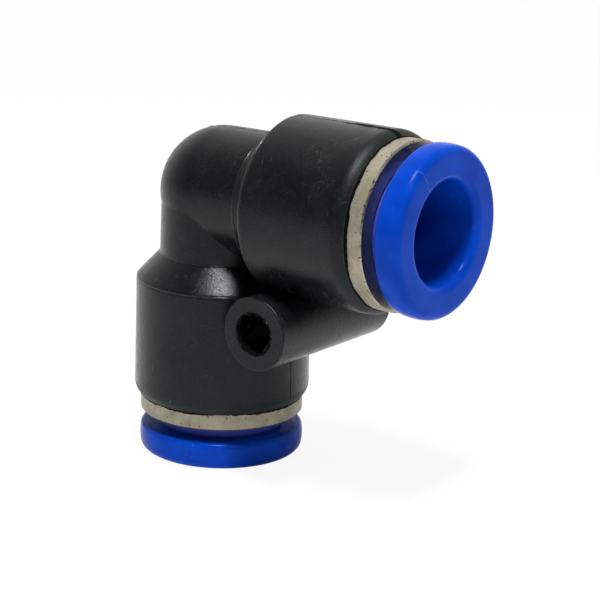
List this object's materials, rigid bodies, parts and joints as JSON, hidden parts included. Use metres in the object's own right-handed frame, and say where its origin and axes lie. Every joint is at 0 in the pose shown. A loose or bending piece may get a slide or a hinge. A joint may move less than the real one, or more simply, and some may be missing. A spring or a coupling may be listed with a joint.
{
  "type": "push to connect fitting",
  "caption": "Elbow push-in fitting: black body with two tube ports at a right angle, plated rings, blue release collars and a cross fixing hole.",
  "frame": {"origin": "centre of the fixing hole, half way through the width of the body", "axes": "+X out of the side port, -Z out of the lower port, +Y along the fixing hole; the two port axes cross 11.2 mm behind and 11.2 mm above the hole"},
  "size_m": [0.0365, 0.0182, 0.0365],
  "materials": {
    "moulding": "satin black moulded plastic with a fine grain",
    "plated_brass": "nickel plated, dull, with fine pits",
    "collar_plastic": "smooth blue acetal",
    "spring_steel": "bright stamped stainless strip",
    "natural_plastic": "uncoloured acetal",
    "seal_rubber": "nitrile rubber, lightly greased"
  },
  "bodies": {
    "body": {"elbow_body": "moulding", "side_seal_ring": "seal_rubber", "side_backing_ring": "natural_plastic", "side_grab_ring": "spring_steel", "side_retaining_ring": "plated_brass", "lower_seal_ring": "seal_rubber", "lower_backing_ring": "natural_plastic", "lower_grab_ring": "spring_steel", "lower_retaining_ring": "plated_brass"},
    "side_collar": {"side_release_collar": "collar_plastic"},
    "lower_collar": {"lower_release_collar": "collar_plastic"}
  },
  "joints": [
    {"name": "side_collar_press", "type": "slide", "parent": "body", "child": "side_collar", "axis": [-1, 0, 0], "range_m": [0, 0.0012], "stiffness_N_per_m": 8000, "deforming": ["side_grab_ring"]},
    {"name": "lower_collar_press", "type": "slide", "parent": "body", "child": "lower_collar", "axis": [0, 0, 1], "range_m": [0, 0.0012], "stiffness_N_per_m": 8000, "deforming": ["lower_grab_ring"]}
  ]
}
